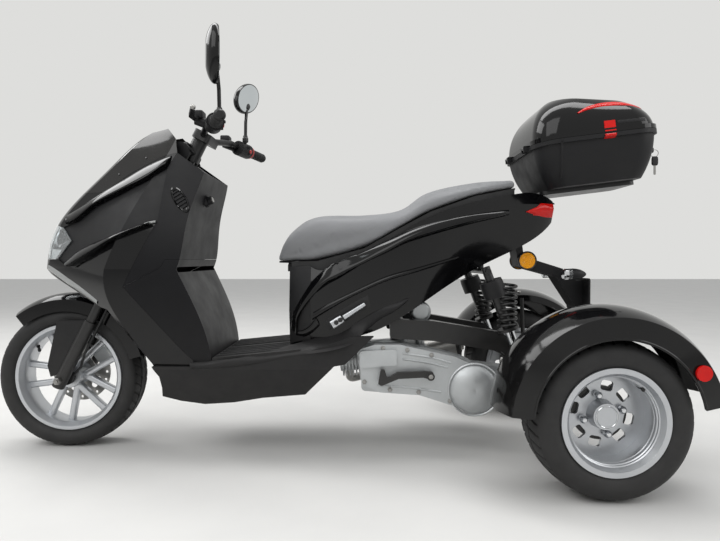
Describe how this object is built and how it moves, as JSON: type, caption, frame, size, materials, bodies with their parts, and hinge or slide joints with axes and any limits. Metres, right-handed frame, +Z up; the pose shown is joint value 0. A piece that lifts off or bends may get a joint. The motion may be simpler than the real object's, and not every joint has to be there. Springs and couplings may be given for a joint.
{
  "type": "motor trike",
  "caption": "Step-through motor trike with one steered front wheel, paired rear wheels under round mudguards, a stepped two-up seat and a hinged rear top case.",
  "frame": {"origin": "on the ground, at the middle of the length and width", "axes": "+X forward, +Y to the rider's left, +Z up"},
  "size_m": [2.1759, 1.036, 1.3333],
  "materials": {
    "gloss_black": "gloss painted plastic",
    "matte_black": "grained moulded plastic",
    "smoke": "smoked screen",
    "clear_lens": "clear lens",
    "red_lens": "red lens",
    "amber_lens": "amber lens",
    "frame_steel": "black paint",
    "bare_steel": "plain steel",
    "cast_alloy": "as cast",
    "wheel_alloy": "silver lacquer",
    "rubber": "moulded rubber",
    "tyre": "road tyre",
    "seat_vinyl": "grained vinyl"
  },
  "bodies": {
    "chassis": {"frame": "frame_steel", "screen": "smoke", "nose_cowl": "gloss_black", "headlamp": "clear_lens", "knee_panel": "gloss_black", "leg_shield": "matte_black", "side_fairing_left": "gloss_black", "side_fairing_right": "gloss_black", "side_vents": "matte_black", "blades": "gloss_black", "dash": "matte_black", "arch_liner": "matte_black", "belly_pan": "matte_black", "floorboard": "matte_black", "seat_pedestal": "matte_black", "side_panel_left": "gloss_black", "side_panel_right": "gloss_black", "tail_lamp": "red_lens", "storage_bucket": "matte_black", "case_base": "matte_black", "case_lock": "matte_black", "rack": "frame_steel", "engine_block": "cast_alloy", "belt_cover": "cast_alloy", "kick_lever": "frame_steel", "rear_axle": "frame_steel", "swing_frame": "frame_steel", "shock_left": "frame_steel", "shock_right": "frame_steel", "rear_fender_left": "gloss_black", "rear_fender_right": "gloss_black", "fender_reflectors": "red_lens", "plate_bracket": "matte_black", "rear_signals": "amber_lens", "side_reflectors": "amber_lens", "exhaust": "bare_steel", "foot_pegs": "wheel_alloy"},
    "steering": {"fork": "frame_steel", "brake_caliper": "cast_alloy", "front_fender": "gloss_black", "fork_guards": "matte_black", "front_lines": "rubber", "handlebar": "frame_steel", "grips": "rubber", "controls": "matte_black", "mirrors": "gloss_black"},
    "front_wheel": {"front_tyre": "tyre", "front_rim": "wheel_alloy", "brake_disc": "bare_steel"},
    "rear_wheel_left": {"rear_tyre_left": "tyre", "rear_rim_left": "wheel_alloy", "rear_hub_left": "frame_steel"},
    "rear_wheel_right": {"rear_tyre_right": "tyre", "rear_rim_right": "wheel_alloy", "rear_hub_right": "frame_steel"},
    "case_lid": {"case_lid": "gloss_black"},
    "seat": {"seat": "seat_vinyl", "seat_pan": "matte_black"}
  },
  "joints": [
    {"name": "steer", "type": "hinge", "parent": "chassis", "child": "steering", "pos_m": [0.84062, 0, 0.2241], "axis": [-0.454, 0, 0.891], "range_deg": [-40, 40]},
    {"name": "front_spin", "type": "hinge", "parent": "steering", "child": "front_wheel", "pos_m": [0.862, 0, 0.235], "axis": [0, 1, 0], "continuous": true},
    {"name": "rear_left_spin", "type": "hinge", "parent": "chassis", "child": "rear_wheel_left", "pos_m": [-0.772, 0.41, 0.212], "axis": [0, 1, 0], "continuous": true},
    {"name": "rear_right_spin", "type": "hinge", "parent": "chassis", "child": "rear_wheel_right", "pos_m": [-0.772, -0.41, 0.212], "axis": [0, 1, 0], "continuous": true},
    {"name": "lid_open", "type": "hinge", "parent": "chassis", "child": "case_lid", "pos_m": [-0.65122, 0, 0.98796], "axis": [0, 1, 0], "range_deg": [0, 85]},
    {"name": "seat_open", "type": "hinge", "parent": "chassis", "child": "seat", "pos_m": [0.116, 0, 0.612], "axis": [0, 1, 0], "range_deg": [0, 50]}
  ]
}
